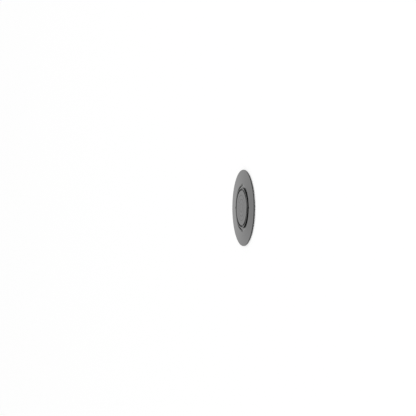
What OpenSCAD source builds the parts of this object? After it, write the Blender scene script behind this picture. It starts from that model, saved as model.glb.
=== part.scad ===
// Adhesive magnetic patch for the back of a phone.
// It lies flat: Z = 0 is the outer adhesive face, and +Z is the side that docks.

/* [Shell] */
// Diameter of the moulded shell
shell_d = 60; // [52:0.5:80]
// Height of the shell's outer edge
edge_h = 0.9; // [0.75:0.05:1.25]
// Width of the flat band between the sloping face and the edge
edge_band_w = 1.1; // [0.6:0.1:4]
// Radius of the round between the flat band and the edge wall
edge_round_r = 0.4; // [0.1:0.05:0.6]

/* [Recess] */
// Diameter of the round recess in the face
recess_d = 35.4; // [33:0.1:40]
// Width of the soft edge around the recess
rim_edge_w = 0.7; // [0.1:0.05:1]
// Height of the soft edge around the recess
rim_edge_h = 0.12; // [0.03:0.01:0.2]

/* [Locking notches] */
// Number of pointed notches around the recess
notch_count = 4; // [2:1:6]
// Distance from the recess wall to the point of a notch
notch_reach = 1.5; // [0.6:0.1:2.5]
// Angle between the two straight sides of a notch
notch_angle = 90; // [70:1:125]
// Depth of a notch below the rim of the recess
notch_depth = 0.4; // [0.2:0.05:0.6]

/* [Collar ring] */
// Width of the groove between the collar ring and the recess wall
groove_w = 1.7; // [1:0.05:2]
// Thickness of the collar ring's wall
collar_wall = 0.9; // [0.7:0.05:1.5]
// Width of the bevel on the collar ring's top edges
collar_bevel = 0.25; // [0.05:0.01:0.3]
// Height of the collar ring's top above the cap's top
collar_rise = 0.05; // [0:0.01:0.3]

/* [Centre cap] */
// Height of the cap's top above the rim of the recess
cap_rise = 0.55; // [0.2:0.05:0.7]
// Thickness of the cap over the magnets
cap_skin = 0.45; // [0.3:0.05:1]
// Width of the bevel around the cap's top
cap_bevel = 0.25; // [0.05:0.01:0.3]
// Width of the slot between the cap and the collar ring
slot_w = 1.25; // [0.3:0.05:1.5]

/* [Magnets] */
// Number of disc magnets under the cap
magnet_count = 8; // [2:1:9]
// Diameter of one magnet
magnet_d = 6; // [3:0.25:6.5]
// Thickness of one magnet
magnet_t = 0.8; // [0.6:0.1:1.5]
// Wall of the cap outside the magnets
magnet_wall = 1.2; // [0.5:0.1:2.2]
// Gap around and over a magnet in its pocket
magnet_gap = 0.05; // [0.02:0.01:0.15]

/* [Steel plate] */
// Thickness of the steel plate that carries the cap and the collar ring
plate_t = 0.7; // [0.4:0.05:0.9]
// How far the plate reaches under the shell, past the recess wall
plate_ledge = 1.2; // [0.5:0.1:3]
// Gap around the plate in the shell's back
plate_gap = 0.1; // [0.05:0.01:0.3]

/* [Adhesive] */
// Thickness of the adhesive disc
adhesive_t = 0.8; // [0.3:0.05:1.5]
// How far the adhesive stays inside the shell's edge
adhesive_inset = 1; // [0.5:0.1:4]

/* [Hidden] */
$fn = 96;
// Steps of the quarter circle that rounds the shell's edge
round_steps = 6;
// Overshoot of a cut past the surface that it opens
cut_extra = 1;

shell_r = shell_d / 2;
recess_r = recess_d / 2;
collar_r = recess_r - groove_w;
slot_r = collar_r - collar_wall;
cap_r = slot_r - slot_w;
plate_r = recess_r + plate_ledge;
adhesive_r = shell_r - adhesive_inset;

back_z = adhesive_t;
plate_top_z = back_z + plate_t;
pocket_top_z = plate_top_z + magnet_t + magnet_gap;
cap_top_z = pocket_top_z + cap_skin;
collar_top_z = cap_top_z + collar_rise;
rim_z = cap_top_z - cap_rise;
notch_z = rim_z - notch_depth;
edge_z = back_z + edge_h;

pocket_r = magnet_d / 2 + magnet_gap;
magnet_circle_r = cap_r - magnet_wall - pocket_r;
magnet_step = 360 / magnet_count;
notch_step = 360 / notch_count;
notch_tip_r = recess_r + notch_reach;
// Distance from the patch's axis to the straight side of a notch
notch_side_r = notch_tip_r * sin(notch_angle / 2);

// Half section of the shell: a ring with a seat for the steel plate in its back
module shell_profile() {
    round_x = shell_r - edge_round_r;
    round_z = edge_z - edge_round_r;
    polygon(concat(
        [[plate_r + plate_gap, back_z], [shell_r, back_z]],
        [for (i = [0:round_steps])
            let (a = 90 * i / round_steps)
            [round_x + edge_round_r * cos(a), round_z + edge_round_r * sin(a)]],
        [
            [shell_r - edge_band_w, edge_z],
            [recess_r + rim_edge_w, rim_z],
            [recess_r, rim_z - rim_edge_h],
            [recess_r, plate_top_z],
            [plate_r + plate_gap, plate_top_z]
        ]
    ));
}

// One notch, cut from above: two straight walls that meet in a point
module notch_cut() {
    foot_x = notch_side_r * sin(notch_angle / 2);
    foot_y = notch_side_r * cos(notch_angle / 2);
    translate([0, 0, notch_z])
        linear_extrude(notch_depth + cut_extra)
            polygon([[0, 0], [foot_x, -foot_y], [notch_tip_r, 0], [foot_x, foot_y]]);
}

// Moulded shell with the sloping face, the recess and its notches
module face_shell() {
    color("#4a4a4c")
        difference() {
            rotate_extrude() shell_profile();
            for (i = [0:notch_count - 1])
                rotate([0, 0, i * notch_step]) notch_cut();
        }
}

// Steel plate in the shell's back, which is also the floor of the groove
module steel_plate() {
    color("#3c3c3e")
        translate([0, 0, back_z])
            cylinder(r = plate_r, h = plate_t);
}

// Ring that stands on the plate around the cap
module collar_ring() {
    color("#464648")
        rotate_extrude()
            polygon([
                [slot_r, plate_top_z],
                [collar_r, plate_top_z],
                [collar_r, collar_top_z - collar_bevel],
                [collar_r - collar_bevel, collar_top_z],
                [slot_r + collar_bevel, collar_top_z],
                [slot_r, collar_top_z - collar_bevel]
            ]);
}

// Round cover inside the collar ring, with a pocket in its underside for each magnet
module centre_cap() {
    color("#464648")
        difference() {
            rotate_extrude()
                polygon([
                    [0, plate_top_z],
                    [cap_r, plate_top_z],
                    [cap_r, cap_top_z - cap_bevel],
                    [cap_r - cap_bevel, cap_top_z],
                    [0, cap_top_z]
                ]);
            for (i = [1:magnet_count])
                rotate([0, 0, i * magnet_step])
                    translate([magnet_circle_r, 0, plate_top_z - cut_extra])
                        cylinder(r = pocket_r, h = pocket_top_z - plate_top_z + cut_extra);
        }
}

// One disc magnet, standing on the steel plate
module magnet(i) {
    color("#c9c9cc")
        rotate([0, 0, i * magnet_step])
            translate([magnet_circle_r, 0, plate_top_z])
                cylinder(d = magnet_d, h = magnet_t);
}

// Clear double-sided adhesive on the patch's back
module adhesive_disc() {
    color("#f2f2f0", 0.6)
        cylinder(r = adhesive_r, h = adhesive_t);
}

face_shell();
steel_plate();
collar_ring();
centre_cap();
adhesive_disc();
for (i = [1:magnet_count])
    magnet(i);
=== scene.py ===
import math

import bmesh
import bpy
from bpy.props import FloatProperty, FloatVectorProperty, IntProperty, PointerProperty
from mathutils import Matrix, Vector


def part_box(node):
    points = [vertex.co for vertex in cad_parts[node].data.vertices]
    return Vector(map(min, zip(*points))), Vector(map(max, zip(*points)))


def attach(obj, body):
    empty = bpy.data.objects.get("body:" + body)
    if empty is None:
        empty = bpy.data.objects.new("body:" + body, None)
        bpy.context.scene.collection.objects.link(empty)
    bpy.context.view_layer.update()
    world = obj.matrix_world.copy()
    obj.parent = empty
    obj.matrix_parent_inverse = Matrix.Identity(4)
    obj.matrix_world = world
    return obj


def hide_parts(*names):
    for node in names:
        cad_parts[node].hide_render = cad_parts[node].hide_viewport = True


# The packed model is the fixed frame. Z = 0 is the adhesive's outer face, and +Z is the side that docks.
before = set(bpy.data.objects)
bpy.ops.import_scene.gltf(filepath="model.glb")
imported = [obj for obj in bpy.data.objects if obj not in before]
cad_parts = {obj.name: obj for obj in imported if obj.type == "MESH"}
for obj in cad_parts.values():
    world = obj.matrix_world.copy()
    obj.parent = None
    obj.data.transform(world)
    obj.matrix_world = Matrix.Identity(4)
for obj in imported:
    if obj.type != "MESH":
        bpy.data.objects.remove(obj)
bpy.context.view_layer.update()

bl_info = {
    "name": "Adhesive Magnetic Phone Patch",
    "version": (1, 0, 0),
    "blender": (4, 5, 0),
    "location": "3D View > Sidebar > Phone Patch",
    "description": "Fine surfaces, finishes and a studio for a round patch that a phone holder docks on",
    "category": "Object",
}

MM = 0.001
SHELL_LOW, SHELL_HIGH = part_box("face_shell")
PLATE_LOW, PLATE_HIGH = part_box("steel_plate")
COLLAR_LOW, COLLAR_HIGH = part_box("collar_ring")
CAP_LOW, CAP_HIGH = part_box("centre_cap")
GLUE_LOW, GLUE_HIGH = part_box("adhesive_disc")
# This magnet lies on the X axis, so its box across Y is its diameter
MAGNET_LOW, MAGNET_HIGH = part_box("magnet_8")
MAGNETS = sorted(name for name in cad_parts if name.startswith("magnet_"))

# Mesh

# One degree for each step of a turned piece, which leaves no visible facets
TURN_STEPS = 360
# Steps of a small round in a half section
ROUND_STEPS = 4
# Points that lie closer are merged, and shorter edges are dissolved
WELD = 0.003 * MM
SHORTEST_EDGE = 0.0005 * MM
# Edges that turn by more degrees than this stay sharp
SHARP_FROM = 35
# Above the neutral 50, so that a large face leads the shading of its corners and a small round follows
SHADING_WEIGHT = 60

# Shell

# The upper side starts this far outside the recess wall, so that a notch can part the two. It is wider
# than the weld distance, which would merge them
SEAM = 0.004 * MM
# Half the width of the round where the rim's soft edge meets the slope
CROWN_SOFT = 0.12 * MM
# Round where the slope meets the flat band
BAND_SOFT = 0.2 * MM
# Rings of points on the upper side: shares of the rim edge's width, shares of the crown's half width,
# and millimetres beyond the crown and beyond the recess wall
RIM_SHARES = (0.2, 0.4, 0.6, 0.75)
CROWN_SHARES = (-1, -0.67, -0.33, 0, 0.33, 0.67, 1)
NEAR_MM = (0.2, 0.35, 0.55, 0.85, 1.2, 1.6)
FAR_MM = (3.3, 5.0, 8.0)
# A notch pulls the rings outwards up to this many times its own reach, less and less with the distance
PULL_REACH = 2
# Columns of points shift along their rings up to this many times the angle of a notch's corner
SHIFT_REACH = 3

# Cap

# Half the width of a fine ring's floor, and the round on its two lips
RING_FLOOR = 0.015 * MM
RING_LIP = 0.03 * MM
# Narrow land beside a ring's lip, which keeps the lip's soft shading off the flat top
RING_LAND = 0.08 * MM
# Sides of a magnet's round pocket
POCKET_SIDES = 96

# Typical indices of refraction, which set how strongly a surface mirrors
POLYCARBONATE_IOR = 1.585
ABS_IOR = 1.53
EPOXY_IOR = 1.58
ACRYLIC_IOR = 1.47

# Studio

# Half the floor's width, and the gap that keeps the floor and the adhesive out of one plane
FLOOR_HALF = 3.0
FLOOR_GAP = 0.02 * MM
# Width and place of the soft lamp, which looks at the patch
LAMP_WIDTH = 2.4
LAMP_PLACE = (1.05, -0.75, 2.7)
# Side of the square picture in pixels, and where the centre of the shell's back shows in it
PICTURE_SIDE = 416
AIM_ACROSS = 243.8
AIM_DOWN = 207.89
# Width of the camera's sensor in millimetres, and the nearest and furthest that the camera sees
SENSOR_WIDTH = 36
CLIP_START = 0.05
CLIP_END = 20


def linear(hex_colour):
    """Turns an sRGB hex colour into the linear values that Blender's sockets hold."""
    channels = [int(hex_colour[i:i + 2], 16) / 255 for i in (1, 3, 5)]
    return [c / 12.92 if c <= 0.04045 else ((c + 0.055) / 1.055) ** 2.4 for c in channels]


def length(name, description, default, high=0.1):
    """A size in metres that the sidebar shows and a user may change."""
    return FloatProperty(name=name, description=description, default=default, min=0.0, max=high,
                         unit="LENGTH", subtype="DISTANCE", precision=5)


def colour(name, description, default):
    """A colour that the sidebar shows, given as sRGB hex."""
    return FloatVectorProperty(name=name, description=description, default=linear(default),
                               size=3, min=0.0, max=1.0, subtype="COLOR")


class ShellSizes(bpy.types.PropertyGroup):
    """Sizes of the moulded shell with its recess, notches and sloping face."""
    radius: length("Shell radius", "From the axis to the shell's outer edge", SHELL_HIGH.x)
    band: length("Edge band", "Width of the flat band outside the sloping face", 1.1 * MM)
    band_height: length("Edge height", "Height of the flat band above the shell's back", 0.9 * MM)
    edge_round: length("Edge round", "Radius of the round from the flat band to the edge wall", 0.4 * MM)
    recess: length("Recess radius", "From the axis to the recess wall", 17.7 * MM)
    rim_width: length("Rim edge width", "Width of the soft edge around the recess", 0.7 * MM)
    rim_height: length("Rim edge height", "Height of the soft edge around the recess", 0.12 * MM)
    seat: length("Seat radius", "From the axis to the wall of the steel plate's seat",
                 PLATE_HIGH.x + 0.1 * MM)
    notch_reach: length("Notch reach", "From the recess wall to the point of a notch", 1.5 * MM)
    notch_depth: length("Notch depth", "From the rim down to the floor of a notch", 0.4 * MM)
    notch_angle: FloatProperty(name="Notch angle",
                               description="Angle between the two straight sides of a notch",
                               default=math.radians(90), min=math.radians(60), max=math.radians(130),
                               subtype="ANGLE", unit="ROTATION")
    notches: IntProperty(name="Notches", description="Number of pointed notches around the recess",
                         default=4, min=2, max=6)
    mould_edge: length("Mould edge", "Radius of the small rounds that the mould leaves", 0.06 * MM)


class HubSizes(bpy.types.PropertyGroup):
    """Sizes of the collar ring, of the cap inside it and of the magnets' pockets."""
    collar: length("Collar radius", "From the axis to the collar ring's outer wall", COLLAR_HIGH.x)
    collar_wall: length("Collar wall", "Thickness of the collar ring's wall", 0.9 * MM)
    bevel: length("Top bevel", "Width of the bevels on the collar ring and the cap", 0.25 * MM)
    softness: length("Bevel rounding", "Radius of the round where a bevel meets its faces", 0.05 * MM)
    cap: length("Cap radius", "From the axis to the cap's side wall", CAP_HIGH.x)
    rings: IntProperty(name="Fine rings", description="Number of fine ring grooves in the cap's top",
                       default=3, min=0, max=3)
    ring_step: length("Ring spacing", "From the axis to the first fine ring, and on to the next one",
                      3.3 * MM)
    ring_width: length("Ring width", "Width of a fine ring groove at the cap's top", 0.2 * MM)
    ring_depth: length("Ring depth", "Depth of a fine ring groove", 0.2 * MM)
    pocket_gap: length("Pocket gap", "Gap around and over a magnet in its pocket", 0.05 * MM)


class AdhesiveSizes(bpy.types.PropertyGroup):
    """Sizes of the clear double-sided adhesive."""
    radius: length("Adhesive radius", "From the axis to the adhesive's edge", GLUE_HIGH.x)
    edge_round: length("Edge softness", "Radius of the rounds that the die leaves on the edge", 0.12 * MM)


class FinishColours(bpy.types.PropertyGroup):
    """Colours of the patch's materials."""
    shell: colour("Shell", "Body colour of the moulded polycarbonate shell", "#111112")
    cap: colour("Cap", "Body colour of the moulded ABS cap", "#101011")
    coat: colour("Steel coat", "Colour of the epoxy coat on the collar ring and the plate", "#0f0f10")
    nickel: colour("Nickel", "Colour of the magnets' nickel plating", "#cfcac1")
    adhesive: colour("Adhesive", "Tint of the milky acrylic adhesive", "#fafbfa")
    floor: colour("Floor", "Colour of the plain studio floor", "#fdfdfd")


class StudioSettings(bpy.types.PropertyGroup):
    """Camera, light and floor around the patch."""
    lens: FloatProperty(name="Lens", description="Focal length of the camera in millimetres",
                        default=138.3, min=20, max=400, subtype="DISTANCE_CAMERA", unit="CAMERA")
    distance: length("Camera distance", "How far the patch is in front of the camera", 1.254, high=20.0)
    elevation: FloatProperty(name="View elevation",
                             description="Angle from the patch's back up to the line of sight to its centre",
                             default=math.radians(16.35), min=0, max=math.radians(90),
                             subtype="ANGLE", unit="ROTATION")
    ambient: FloatProperty(name="Room light", description="Strength of the even light from all round",
                           default=0.86, min=0, max=5, subtype="FACTOR")
    key: FloatProperty(name="Key lamp", description="Power of the large soft lamp overhead in watts",
                       default=18.0, min=0, max=1000, subtype="POWER", unit="POWER")
    backdrop: FloatProperty(name="White backdrop",
                            description="Share of the floor's look that is plain white",
                            default=0.7, min=0, max=1, subtype="FACTOR")


# Making a piece

def new_piece(name, bm, material, node):
    """Turns a finished bmesh into a shaded object that rides on the patch and stands for its CAD node."""
    bmesh.ops.remove_doubles(bm, verts=bm.verts, dist=WELD)
    bmesh.ops.dissolve_degenerate(bm, edges=bm.edges, dist=SHORTEST_EDGE)
    bmesh.ops.recalc_face_normals(bm, faces=bm.faces)
    mesh = bpy.data.meshes.new(name)
    bm.to_mesh(mesh)
    bm.free()
    mesh.shade_smooth()
    mesh.set_sharp_from_angle(angle=math.radians(SHARP_FROM))
    mesh.materials.append(material)
    piece = bpy.data.objects.new(name, mesh)
    bpy.context.scene.collection.objects.link(piece)
    even = piece.modifiers.new("Even shading", "WEIGHTED_NORMAL")
    even.keep_sharp = True
    even.weight = SHADING_WEIGHT
    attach(piece, "root")
    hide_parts(node)


def half_section(corners, closed=True):
    """A new bmesh with a half section in the XZ plane, as a closed outline or as an open line.

    A corner is (radius, height), or (radius, height, round).
    """
    bm = bmesh.new()
    verts = [bm.verts.new((corner[0], 0, corner[1])) for corner in corners]
    following = verts[1:] + verts[:1] if closed else verts[1:]
    for here, there in zip(verts, following):
        bm.edges.new((here, there))
    for vert, corner in zip(verts, corners):
        if len(corner) > 2:
            bmesh.ops.bevel(bm, geom=[vert], affect="VERTICES", offset=corner[2], offset_type="OFFSET",
                            segments=ROUND_STEPS, profile=0.5, material=-1)
    return bm


def turn(bm):
    """Turns the drawn half section once round the patch's axis."""
    bmesh.ops.spin(bm, geom=bm.verts[:] + bm.edges[:], cent=(0, 0, 0), axis=(0, 0, 1),
                   angle=2 * math.pi, steps=TURN_STEPS, use_merge=True)


# Materials

def add_node(tree, kind, inputs=None, **settings):
    """Adds a shader node with its settings. An input is a value, or the socket that it links from."""
    node = tree.nodes.new(kind)
    for name, value in settings.items():
        setattr(node, name, value)
    for name, value in (inputs or {}).items():
        if isinstance(value, bpy.types.NodeSocket):
            tree.links.new(value, node.inputs[name])
        else:
            node.inputs[name].default_value = value
    return node


def per_mm(size):
    """The noise scale, for coordinates in metres, that makes its features this many millimetres wide."""
    return 1000 / size


def new_material(name):
    """An empty node material and its tree."""
    material = bpy.data.materials.new(name)
    material.use_nodes = True
    material.node_tree.nodes.clear()
    return material, material.node_tree


def rgba(values):
    """A linear colour with the full opacity that colour sockets ask for."""
    return [*values, 1.0]


def shade_pair(values, lift):
    """The colour itself and a paler mate, for slow variation over a surface."""
    return rgba(values), rgba([v + lift * (1 - v) for v in values])


def seen_directly(tree):
    """A socket that is 1 for the camera, a mirror or a clear body, and 0 for the light on surfaces."""
    rays = add_node(tree, "ShaderNodeLightPath").outputs
    mirrored = add_node(tree, "ShaderNodeMath", {0: rays["Is Camera Ray"], 1: rays["Is Glossy Ray"]},
                        operation="MAXIMUM")
    return add_node(tree, "ShaderNodeMath", {0: mirrored.outputs[0], 1: rays["Is Transmission Ray"]},
                    operation="MAXIMUM").outputs[0]


def polished_moulding(name, body, ior):
    """Glossy black plastic from a polished mould, a dark mirror that brightens at low angles."""
    material, tree = new_material(name)
    place = add_node(tree, "ShaderNodeTexCoord").outputs["Object"]
    # Polishing marks of the mould, about 0.35 mm apart, and the drift of gloss over about 9 mm
    grain = add_node(tree, "ShaderNodeTexNoise", {
        "Vector": place, "Scale": per_mm(0.35), "Detail": 3.0, "Roughness": 0.55})
    drift = add_node(tree, "ShaderNodeTexNoise", {"Vector": place, "Scale": per_mm(9.0), "Detail": 2.0})
    plain, pale = shade_pair(body, lift=0.004)
    tint = add_node(tree, "ShaderNodeMix", {
        "Factor": drift.outputs["Fac"], "A": plain, "B": pale}, data_type="RGBA")
    gloss = add_node(tree, "ShaderNodeMapRange", {
        "Value": drift.outputs["Fac"], "From Min": 0.3, "From Max": 0.7,
        "To Min": 0.085, "To Max": 0.145})
    bump = add_node(tree, "ShaderNodeBump", {
        "Height": grain.outputs["Fac"], "Strength": 0.35, "Distance": 0.004 * MM})
    shader = add_node(tree, "ShaderNodeBsdfPrincipled", {
        "Base Color": tint.outputs["Result"], "Roughness": gloss.outputs["Result"], "IOR": ior,
        "Normal": bump.outputs["Normal"]})
    add_node(tree, "ShaderNodeOutputMaterial", {"Surface": shader.outputs["BSDF"]})
    return material


def epoxy_coated_steel(name, coat):
    """Steel with a baked black epoxy coat, which shows as a smooth and slightly wavy dark film."""
    material, tree = new_material(name)
    place = add_node(tree, "ShaderNodeTexCoord").outputs["Object"]
    # The coat's flow waves are about 0.9 mm wide, and the fine dust under it about 0.2 mm
    waves = add_node(tree, "ShaderNodeTexNoise", {"Vector": place, "Scale": per_mm(0.9), "Detail": 1.0})
    dust = add_node(tree, "ShaderNodeTexNoise", {"Vector": place, "Scale": per_mm(0.2), "Detail": 2.0})
    plain, pale = shade_pair(coat, lift=0.006)
    tint = add_node(tree, "ShaderNodeMix", {
        "Factor": waves.outputs["Fac"], "A": plain, "B": pale}, data_type="RGBA")
    gloss = add_node(tree, "ShaderNodeMapRange", {
        "Value": dust.outputs["Fac"], "From Min": 0.3, "From Max": 0.7,
        "To Min": 0.1, "To Max": 0.17})
    bump = add_node(tree, "ShaderNodeBump", {
        "Height": waves.outputs["Fac"], "Strength": 0.3, "Distance": 0.006 * MM})
    shader = add_node(tree, "ShaderNodeBsdfPrincipled", {
        "Base Color": tint.outputs["Result"], "Roughness": gloss.outputs["Result"], "IOR": EPOXY_IOR,
        "Normal": bump.outputs["Normal"]})
    add_node(tree, "ShaderNodeOutputMaterial", {"Surface": shader.outputs["BSDF"]})
    return material


def nickel_plating(name, nickel):
    """Bright nickel plating on a pressed magnet, which shows as a warm metal with a fine satin."""
    material, tree = new_material(name)
    place = add_node(tree, "ShaderNodeTexCoord").outputs["Object"]
    # Marks that tumbling the magnets leaves, about 0.25 mm apart
    tumble = add_node(tree, "ShaderNodeTexNoise", {
        "Vector": place, "Scale": per_mm(0.25), "Detail": 4.0})
    plain, pale = shade_pair(nickel, lift=0.08)
    tint = add_node(tree, "ShaderNodeMix", {
        "Factor": tumble.outputs["Fac"], "A": plain, "B": pale}, data_type="RGBA")
    gloss = add_node(tree, "ShaderNodeMapRange", {
        "Value": tumble.outputs["Fac"], "To Min": 0.16, "To Max": 0.3})
    bump = add_node(tree, "ShaderNodeBump", {
        "Height": tumble.outputs["Fac"], "Strength": 0.2, "Distance": 0.003 * MM})
    shader = add_node(tree, "ShaderNodeBsdfPrincipled", {
        "Base Color": tint.outputs["Result"], "Metallic": 1.0, "Roughness": gloss.outputs["Result"],
        "Normal": bump.outputs["Normal"]})
    add_node(tree, "ShaderNodeOutputMaterial", {"Surface": shader.outputs["BSDF"]})
    return material


def milky_acrylic_adhesive(name, milk):
    """Milky clear acrylic adhesive, cut by a die, a pale layer that lets a little of the dark through."""
    material, tree = new_material(name)
    place = add_node(tree, "ShaderNodeTexCoord").outputs["Object"]
    # Trapped micro bubbles, about 0.5 mm apart, and the slight pull of the gel over 4 mm
    bubbles = add_node(tree, "ShaderNodeTexNoise", {
        "Vector": place, "Scale": per_mm(0.5), "Detail": 3.0})
    pull = add_node(tree, "ShaderNodeTexNoise", {"Vector": place, "Scale": per_mm(4.0), "Detail": 1.0})
    plain, pale = shade_pair(milk, lift=0.4)
    tint = add_node(tree, "ShaderNodeMix", {
        "Factor": bubbles.outputs["Fac"], "A": plain, "B": pale}, data_type="RGBA")
    gloss = add_node(tree, "ShaderNodeMapRange", {
        "Value": bubbles.outputs["Fac"], "From Min": 0.3, "From Max": 0.7,
        "To Min": 0.16, "To Max": 0.32})
    bump = add_node(tree, "ShaderNodeBump", {
        "Height": pull.outputs["Fac"], "Strength": 0.3, "Distance": 0.02 * MM})
    shader = add_node(tree, "ShaderNodeBsdfPrincipled", {
        "Base Color": tint.outputs["Result"], "Roughness": gloss.outputs["Result"], "IOR": ACRYLIC_IOR,
        "Transmission Weight": 0.15, "Normal": bump.outputs["Normal"]})
    add_node(tree, "ShaderNodeOutputMaterial", {"Surface": shader.outputs["BSDF"]})
    return material


# The shell's shape

def notch_outline(sizes, angle):
    """Radius of the recess with its pointed notches, in the direction of this angle."""
    step = 2 * math.pi / sizes.notches
    away = abs((angle + step / 2) % step - step / 2)
    half = sizes.notch_angle / 2
    tip = sizes.recess + sizes.notch_reach
    side = tip * math.sin(half)
    return side / math.sin(half + away) if away < notch_corner(sizes) else sizes.recess


def notch_corner(sizes):
    """Angle at the axis from a notch's point to the corner where its side meets the recess wall."""
    half = sizes.notch_angle / 2
    tip = sizes.recess + sizes.notch_reach
    return math.asin(tip * math.sin(half) / sizes.recess) - half


def face_height(sizes, radius, back, rim):
    """Height of the shell's upper surface: the rim's soft edge, then the slope down to the flat band."""
    crown = sizes.recess + sizes.rim_width
    band = sizes.radius - sizes.band
    rise = sizes.rim_height / sizes.rim_width
    fall = (rim - back - sizes.band_height) / (band - crown)
    outside = radius - crown
    if abs(outside) < CROWN_SOFT:
        return rim - (rise + fall) * (CROWN_SOFT - outside) ** 2 / (4 * CROWN_SOFT) - fall * outside
    if outside < 0:
        return rim + rise * outside
    return max(rim - fall * outside, back + sizes.band_height)


def shape_notches(bm, sizes, back, rim):
    """Moves the turned rings around the recess out to the notches, and seats them on the sloping face."""
    floor = rim - sizes.notch_depth
    pull = PULL_REACH * sizes.notch_reach
    step = 2 * math.pi / sizes.notches
    corner = notch_corner(sizes)
    column = 2 * math.pi / TURN_STEPS
    snapped = round(corner / column) * column
    for vert in bm.verts:
        radius = math.hypot(vert.co.x, vert.co.y)
        angle = math.atan2(vert.co.y, vert.co.x)
        # The columns of points shift a little along their ring, so that one lies on each notch corner
        nearest = round(angle / step) * step
        away = angle - nearest
        spread = abs(away)
        if spread < snapped:
            spread *= corner / snapped
        elif spread < SHIFT_REACH * snapped:
            spread += (corner - snapped) * (SHIFT_REACH - spread / snapped) / (SHIFT_REACH - 1)
        angle = nearest + math.copysign(spread, away)
        over_floor = vert.co.z > floor - SEAM and radius > sizes.recess + SEAM / 2
        if over_floor and radius < sizes.recess + pull:
            pushed = notch_outline(sizes, angle) - sizes.recess
            outwards = max(0.0, radius - SEAM - sizes.recess)
            radius = sizes.recess + outwards + pushed * (1 - outwards / pull)
            below = vert.co.z - face_height(sizes, sizes.recess + outwards, back, rim)
            if vert.co.z > floor + SEAM:
                vert.co.z = face_height(sizes, radius, back, rim) + below
        vert.co.x = radius * math.cos(angle)
        vert.co.y = radius * math.sin(angle)


# Operators

class PATCH_OT_shell(bpy.types.Operator):
    """Builds the moulded shell, a thin ring with a recess, four pointed notches and a seat in its back"""
    bl_idname = "patch.shell"
    bl_label = "Face Shell"

    def execute(self, context):
        sizes = context.scene.patch_shell
        body = context.scene.patch_colours.shell
        back = SHELL_LOW.z
        rim = SHELL_HIGH.z
        edge = sizes.mould_edge
        floor = rim - sizes.notch_depth
        band = back + sizes.band_height

        def upper(outwards, below=0.0):
            """A corner of the upper side, this far outside the recess wall and below the face."""
            radius = sizes.recess + outwards
            return radius + SEAM, face_height(sizes, radius, back, rim) - below

        # The round at the recess's edge is drawn here, because the notches pull its points outwards
        angles = [math.radians(90) * step / ROUND_STEPS for step in range(ROUND_STEPS + 1)]
        rounds = [upper(edge * (1 - math.cos(angle)), edge * (1 - math.sin(angle))) for angle in angles]
        # Rings lie close together over the soft crown, and further apart down the slope
        inside = [sizes.rim_width * share for share in RIM_SHARES]
        over = [sizes.rim_width + CROWN_SOFT * share for share in CROWN_SHARES]
        down = [sizes.rim_width + mm * MM for mm in NEAR_MM]
        slope = [upper(outwards) for outwards in inside + over + down]
        far_radii = [sizes.recess + mm * MM for mm in FAR_MM]
        far = [(radius, face_height(sizes, radius, back, rim)) for radius in far_radii]
        # From the plate's seat up the recess wall, over the face and down the edge
        bm = half_section([
            (sizes.seat, back, edge),
            (sizes.seat, PLATE_HIGH.z),
            (sizes.recess, PLATE_HIGH.z),
            (sizes.recess, floor),
            (sizes.recess + SEAM, floor),
            *rounds,
            *slope,
            *far,
            (sizes.radius - sizes.band, band, BAND_SOFT),
            (sizes.radius, band, sizes.edge_round),
            (sizes.radius, back, edge),
        ])
        turn(bm)
        shape_notches(bm, sizes, back, rim)
        material = polished_moulding("Black polycarbonate, polished mould", body, POLYCARBONATE_IOR)
        new_piece("shell", bm, material, "face_shell")
        return {"FINISHED"}


class PATCH_OT_collar(bpy.types.Operator):
    """Builds the coated steel ring that stands around the cap"""
    bl_idname = "patch.collar"
    bl_label = "Collar Ring"

    def execute(self, context):
        sizes = context.scene.patch_hub
        coat = context.scene.patch_colours.coat
        low = COLLAR_LOW.z
        top = COLLAR_HIGH.z
        outer = sizes.collar
        inner = sizes.collar - sizes.collar_wall
        bevel = sizes.bevel
        soft = sizes.softness
        bm = half_section([
            (inner, low),
            (outer, low),
            (outer, top - bevel, soft),
            (outer - bevel, top, soft),
            (inner + bevel, top, soft),
            (inner, top - bevel, soft),
        ])
        turn(bm)
        material = epoxy_coated_steel("Steel, black epoxy coat", coat)
        new_piece("collar", bm, material, "collar_ring")
        return {"FINISHED"}


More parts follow.
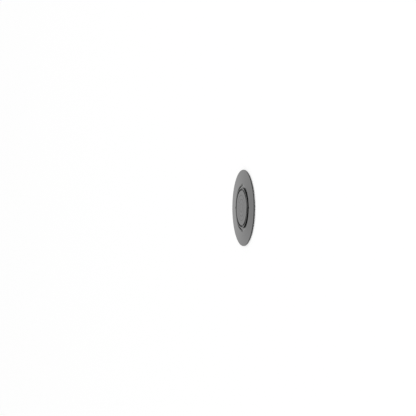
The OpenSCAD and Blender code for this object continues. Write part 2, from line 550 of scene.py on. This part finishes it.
class PATCH_OT_cap(bpy.types.Operator):
    """Builds the round cap, with fine rings in its top and a pocket in its underside for each magnet"""
    bl_idname = "patch.cap"
    bl_label = "Centre Cap"

    def execute(self, context):
        sizes = context.scene.patch_hub
        body = context.scene.patch_colours.cap
        low = CAP_LOW.z
        top = CAP_HIGH.z
        soft = sizes.softness
        grooves = []
        for ring in range(sizes.rings, 0, -1):
            middle = ring * sizes.ring_step
            lip = sizes.ring_width / 2
            land = lip + RING_LAND
            floor = top - sizes.ring_depth
            grooves += [
                (middle + land, top), (middle + lip, top, RING_LIP), (middle + RING_FLOOR, floor),
                (middle - RING_FLOOR, floor), (middle - lip, top, RING_LIP), (middle - land, top),
            ]
        # The wall and the upper side are turned from an open line that ends at the axis
        bm = half_section([
            (sizes.cap, low),
            (sizes.cap, top - sizes.bevel, soft),
            (sizes.cap - sizes.bevel, top, soft),
            *grooves,
            (0, top),
        ], closed=False)
        turn(bm)
        bmesh.ops.remove_doubles(bm, verts=bm.verts, dist=WELD)
        rim = [edge for edge in bm.edges if edge.is_boundary]
        # The underside is one flat face with a round hole for each pocket
        pocket_radius = (MAGNET_HIGH.y - MAGNET_LOW.y) / 2 + sizes.pocket_gap
        pocket_top = MAGNET_HIGH.z + sizes.pocket_gap
        holes = []
        for name in MAGNETS:
            centre = sum(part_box(name), Vector()) / 2
            place = Matrix.Translation((centre.x, centre.y, low))
            ring = bmesh.ops.create_circle(bm, segments=POCKET_SIDES, radius=pocket_radius, matrix=place)
            holes.append(list({edge for vert in ring["verts"] for edge in vert.link_edges}))
        outlines = rim + [edge for hole in holes for edge in hole]
        bmesh.ops.triangle_fill(bm, use_beauty=True, edges=outlines)
        for hole in holes:
            grown = bmesh.ops.extrude_edge_only(bm, edges=hole)["geom"]
            risen = [part for part in grown if isinstance(part, bmesh.types.BMVert)]
            bmesh.ops.translate(bm, verts=risen, vec=(0, 0, pocket_top - low))
            edges = [part for part in grown if isinstance(part, bmesh.types.BMEdge)]
            lid = [edge for edge in edges if all(vert in risen for vert in edge.verts)]
            bmesh.ops.contextual_create(bm, geom=risen + lid)
        material = polished_moulding("Black ABS, polished mould", body, ABS_IOR)
        new_piece("cap", bm, material, "centre_cap")
        return {"FINISHED"}


class PATCH_OT_adhesive(bpy.types.Operator):
    """Builds the clear double-sided adhesive on the patch's back"""
    bl_idname = "patch.adhesive"
    bl_label = "Adhesive Disc"

    def execute(self, context):
        sizes = context.scene.patch_adhesive
        milk = context.scene.patch_colours.adhesive
        low = GLUE_LOW.z
        top = GLUE_HIGH.z
        soft = sizes.edge_round
        bm = half_section([
            (0, low),
            (sizes.radius, low, soft),
            (sizes.radius, top, soft),
            (0, top),
        ], closed=False)
        turn(bm)
        material = milky_acrylic_adhesive("Acrylic adhesive, milky and die cut", milk)
        new_piece("adhesive", bm, material, "adhesive_disc")
        return {"FINISHED"}


class PATCH_OT_metal(bpy.types.Operator):
    """Gives the steel plate its epoxy coat and the magnets their nickel plating"""
    bl_idname = "patch.metal"
    bl_label = "Plate and Magnets"

    def execute(self, context):
        colours = context.scene.patch_colours
        coat = epoxy_coated_steel("Steel plate, black epoxy coat", colours.coat)
        nickel = nickel_plating("Magnet, bright nickel plating", colours.nickel)
        finishes = dict.fromkeys(MAGNETS, nickel)
        finishes["steel_plate"] = coat
        for name, material in finishes.items():
            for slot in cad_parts[name].material_slots:
                slot.material = material
        return {"FINISHED"}


class PATCH_OT_studio(bpy.types.Operator):
    """Lays the pale floor, lights the room evenly and aims the camera"""
    bl_idname = "patch.studio"
    bl_label = "Studio"

    def execute(self, context):
        scene = context.scene
        studio = scene.patch_studio
        scene.view_settings.view_transform = "Standard"
        self.lay_floor(scene, scene.patch_colours.floor, studio.backdrop)
        self.light_room(scene, studio)
        self.aim_camera(scene, studio)
        return {"FINISHED"}

    def lay_floor(self, scene, paint, backdrop):
        """A floor of matt white paper under the adhesive, which shows as even white with a soft shadow."""
        bm = bmesh.new()
        bmesh.ops.create_grid(bm, x_segments=1, y_segments=1, size=FLOOR_HALF,
                              matrix=Matrix.Translation((0, 0, GLUE_LOW.z - FLOOR_GAP)))
        mesh = bpy.data.meshes.new("floor")
        bm.to_mesh(mesh)
        bm.free()
        floor = bpy.data.objects.new("floor", mesh)
        scene.collection.objects.link(floor)
        material, tree = new_material("Studio floor, matt white paper")
        place = add_node(tree, "ShaderNodeTexCoord").outputs["Object"]
        # Paper fibres, about 0.8 mm apart
        fibre = add_node(tree, "ShaderNodeTexNoise", {
            "Vector": place, "Scale": per_mm(0.8), "Detail": 2.0})
        plain, pale = shade_pair(paint, lift=0.5)
        tint = add_node(tree, "ShaderNodeMix", {
            "Factor": fibre.outputs["Fac"], "A": plain, "B": pale}, data_type="RGBA")
        paper = add_node(tree, "ShaderNodeBsdfDiffuse", {
            "Color": tint.outputs["Result"], "Roughness": 0.5})
        glow = add_node(tree, "ShaderNodeEmission", {"Color": rgba(linear("#ffffff")), "Strength": 1.0})
        share = add_node(tree, "ShaderNodeMath", {
            0: seen_directly(tree), 1: backdrop}, operation="MULTIPLY")
        mixed = add_node(tree, "ShaderNodeMixShader", {
            0: share.outputs[0], 1: paper.outputs[0], 2: glow.outputs[0]})
        add_node(tree, "ShaderNodeOutputMaterial", {"Surface": mixed.outputs[0]})
        mesh.materials.append(material)

    def light_room(self, scene, studio):
        """Even light from all round that glossy and clear surfaces see as white, and one soft lamp."""
        world = bpy.data.worlds.new("Studio room")
        world.use_nodes = True
        tree = world.node_tree
        tree.nodes.clear()
        white = rgba(linear("#ffffff"))
        room = add_node(tree, "ShaderNodeBackground", {"Color": white, "Strength": studio.ambient})
        backdrop = add_node(tree, "ShaderNodeBackground", {"Color": white, "Strength": 1.0})
        mixed = add_node(tree, "ShaderNodeMixShader", {
            0: seen_directly(tree), 1: room.outputs[0], 2: backdrop.outputs[0]})
        add_node(tree, "ShaderNodeOutputWorld", {"Surface": mixed.outputs[0]})
        scene.world = world
        lamp = bpy.data.lights.new("key", "AREA")
        lamp.shape = "DISK"
        lamp.size = LAMP_WIDTH
        lamp.energy = studio.key
        key = bpy.data.objects.new("key", lamp)
        key.location = LAMP_PLACE
        key.rotation_euler = key.location.to_track_quat("Z", "Y").to_euler()
        scene.collection.objects.link(key)

    def aim_camera(self, scene, studio):
        """The camera turns a quarter about its line of sight, because the patch lies flat here."""
        across = AIM_ACROSS - PICTURE_SIDE / 2
        above = PICTURE_SIDE / 2 - AIM_DOWN
        focal = studio.lens / SENSOR_WIDTH * PICTURE_SIDE
        per_pixel = studio.distance / focal
        # The patch shows beside the picture's middle, so the camera itself is tilted a little less
        tilt = studio.elevation - math.atan(across / focal)
        up = Vector((1, 0, 0))
        towards = Vector((0, -math.cos(tilt), math.sin(tilt)))
        right = up.cross(towards)
        centre = Vector((0, 0, SHELL_LOW.z))
        camera = bpy.data.cameras.new("camera")
        camera.lens = studio.lens
        camera.sensor_width = SENSOR_WIDTH
        camera.clip_start = CLIP_START
        camera.clip_end = CLIP_END
        aimed = bpy.data.objects.new("camera", camera)
        aimed.matrix_world = Matrix((right, up, towards)).transposed().to_4x4()
        beside = (right * across + up * above) * per_pixel
        aimed.location = centre - beside + towards * studio.distance
        scene.collection.objects.link(aimed)
        scene.camera = aimed


# Sidebar and registration

OPERATORS = (
    PATCH_OT_shell,
    PATCH_OT_collar,
    PATCH_OT_cap,
    PATCH_OT_adhesive,
    PATCH_OT_metal,
    PATCH_OT_studio,
)
GROUPS = {
    "patch_shell": ShellSizes,
    "patch_hub": HubSizes,
    "patch_adhesive": AdhesiveSizes,
    "patch_colours": FinishColours,
    "patch_studio": StudioSettings,
}


class VIEW3D_PT_phone_patch(bpy.types.Panel):
    """Buttons for the patch's pieces, with the sizes and colours that they use"""
    bl_label = "Phone Patch"
    bl_idname = "VIEW3D_PT_phone_patch"
    bl_space_type = "VIEW_3D"
    bl_region_type = "UI"
    bl_category = "Phone Patch"

    def draw(self, context):
        layout = self.layout
        for operator in OPERATORS:
            layout.operator(operator.bl_idname, text=operator.bl_label)
        for name, group in GROUPS.items():
            box = layout.box()
            box.label(text=group.__doc__)
            settings = getattr(context.scene, name)
            for prop in group.__annotations__:
                box.prop(settings, prop)


def register():
    for cls in (*GROUPS.values(), *OPERATORS, VIEW3D_PT_phone_patch):
        bpy.utils.register_class(cls)
    for name, group in GROUPS.items():
        setattr(bpy.types.Scene, name, PointerProperty(type=group))


def unregister():
    for name in GROUPS:
        delattr(bpy.types.Scene, name)
    for cls in reversed((*GROUPS.values(), *OPERATORS, VIEW3D_PT_phone_patch)):
        bpy.utils.unregister_class(cls)


def main():
    register()
    bpy.ops.patch.studio()
    bpy.ops.patch.shell()
    bpy.ops.patch.collar()
    bpy.ops.patch.cap()
    bpy.ops.patch.adhesive()
    bpy.ops.patch.metal()


if __name__ == "__main__":
    main()
